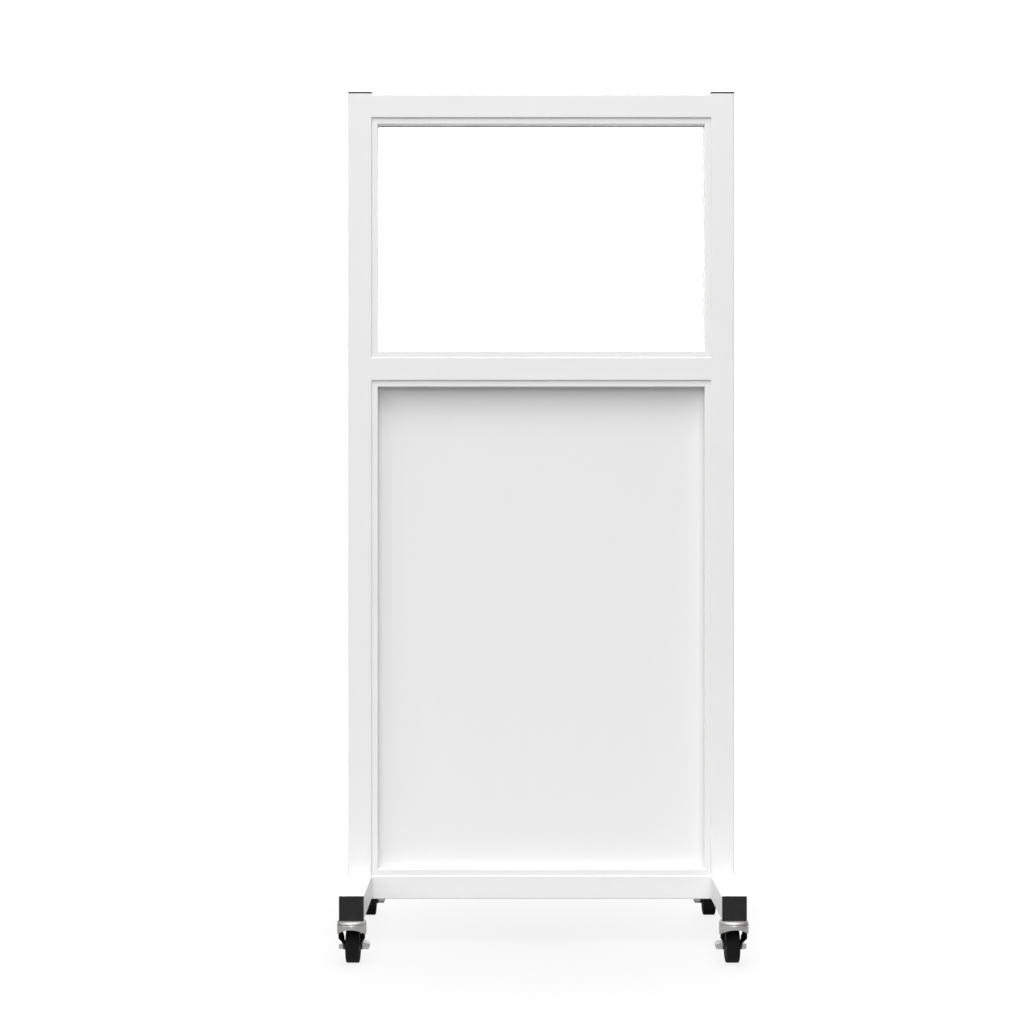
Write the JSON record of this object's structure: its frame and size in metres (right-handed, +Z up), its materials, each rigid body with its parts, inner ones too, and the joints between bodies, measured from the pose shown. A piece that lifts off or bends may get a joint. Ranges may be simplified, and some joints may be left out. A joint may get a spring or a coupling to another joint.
{
  "type": "mobile lead barrier",
  "caption": "Rolling radiation barrier: a white square-tube stand on swivel casters, with a lead-glass window above a lead-lined panel.",
  "frame": {"origin": "on the floor, under the middle of the bounding box", "axes": "+Z up, +X across the barrier to the right seen from the front, +Y from the front to the back; the casters trail towards +Y"},
  "size_m": [0.8478, 0.5816, 1.8489],
  "materials": {
    "frame_white": "satin powder coat",
    "bead_white": "satin powder coat",
    "panel_white": "satin sheet",
    "cap_black": "matte",
    "clear_lead_glass": "polished",
    "glazing_tape": "matte",
    "lead": "dull",
    "core_board": "raw board",
    "zinc_plate": "bright zinc",
    "fork_black": "satin",
    "hub_grey": "moulded",
    "tyre_black": "matte"
  },
  "bodies": {
    "stand": {"post_left": "frame_white", "post_right": "frame_white", "top_rail": "frame_white", "mid_rail": "frame_white", "bottom_rail": "frame_white", "foot_left": "frame_white", "foot_right": "frame_white", "window_stop": "bead_white", "window_bead_rails": "bead_white", "window_bead_sides": "bead_white", "panel_stop": "bead_white", "panel_bead_rails": "bead_white", "panel_bead_sides": "bead_white", "panel_front_skin": "panel_white", "panel_rear_skin": "panel_white", "post_cap_left": "cap_black", "post_cap_right": "cap_black", "foot_cap_front_left": "cap_black", "foot_cap_front_right": "cap_black", "foot_cap_rear_left": "cap_black", "foot_cap_rear_right": "cap_black", "window_glass": "clear_lead_glass", "window_tape_front": "glazing_tape", "window_tape_rear": "glazing_tape", "setting_blocks": "glazing_tape", "panel_lead_sheet": "lead", "panel_core": "core_board", "bead_screws": "zinc_plate", "race_balls": "zinc_plate", "stem_nuts": "zinc_plate", "stem_front_left": "zinc_plate", "stem_front_right": "zinc_plate", "stem_rear_left": "zinc_plate", "stem_rear_right": "zinc_plate", "top_race_front_left": "zinc_plate", "top_race_front_right": "zinc_plate", "top_race_rear_left": "zinc_plate", "top_race_rear_right": "zinc_plate"},
    "swivel_front_left": {"crown_front_left": "zinc_plate", "fork_front_left": "fork_black", "axle_front_left": "zinc_plate"},
    "wheel_front_left": {"wheel_core_front_left": "hub_grey", "tyre_front_left": "tyre_black"},
    "swivel_front_right": {"crown_front_right": "zinc_plate", "fork_front_right": "fork_black", "axle_front_right": "zinc_plate"},
    "wheel_front_right": {"wheel_core_front_right": "hub_grey", "tyre_front_right": "tyre_black"},
    "swivel_rear_left": {"crown_rear_left": "zinc_plate", "fork_rear_left": "fork_black", "axle_rear_left": "zinc_plate"},
    "wheel_rear_left": {"wheel_core_rear_left": "hub_grey", "tyre_rear_left": "tyre_black"},
    "swivel_rear_right": {"crown_rear_right": "zinc_plate", "fork_rear_right": "fork_black", "axle_rear_right": "zinc_plate"},
    "wheel_rear_right": {"wheel_core_rear_right": "hub_grey", "tyre_rear_right": "tyre_black"}
  },
  "joints": [
    {"name": "swivel_turn_front_left", "type": "hinge", "parent": "stand", "child": "swivel_front_left", "pos_m": [-0.3937, -0.26065, 0.08], "axis": [0, 0, 1], "continuous": true},
    {"name": "wheel_roll_front_left", "type": "hinge", "parent": "swivel_front_left", "child": "wheel_front_left", "pos_m": [-0.3937, -0.22465, 0.0365], "axis": [1, 0, 0], "continuous": true},
    {"name": "swivel_turn_front_right", "type": "hinge", "parent": "stand", "child": "swivel_front_right", "pos_m": [0.3937, -0.26065, 0.08], "axis": [0, 0, 1], "continuous": true},
    {"name": "wheel_roll_front_right", "type": "hinge", "parent": "swivel_front_right", "child": "wheel_front_right", "pos_m": [0.3937, -0.22465, 0.0365], "axis": [1, 0, 0], "continuous": true},
    {"name": "swivel_turn_rear_left", "type": "hinge", "parent": "stand", "child": "swivel_rear_left", "pos_m": [-0.3937, 0.21835, 0.08], "axis": [0, 0, 1], "continuous": true},
    {"name": "wheel_roll_rear_left", "type": "hinge", "parent": "swivel_rear_left", "child": "wheel_rear_left", "pos_m": [-0.3937, 0.25435, 0.0365], "axis": [1, 0, 0], "continuous": true},
    {"name": "swivel_turn_rear_right", "type": "hinge", "parent": "stand", "child": "swivel_rear_right", "pos_m": [0.3937, 0.21835, 0.08], "axis": [0, 0, 1], "continuous": true},
    {"name": "wheel_roll_rear_right", "type": "hinge", "parent": "swivel_rear_right", "child": "wheel_rear_right", "pos_m": [0.3937, 0.25435, 0.0365], "axis": [1, 0, 0], "continuous": true}
  ]
}
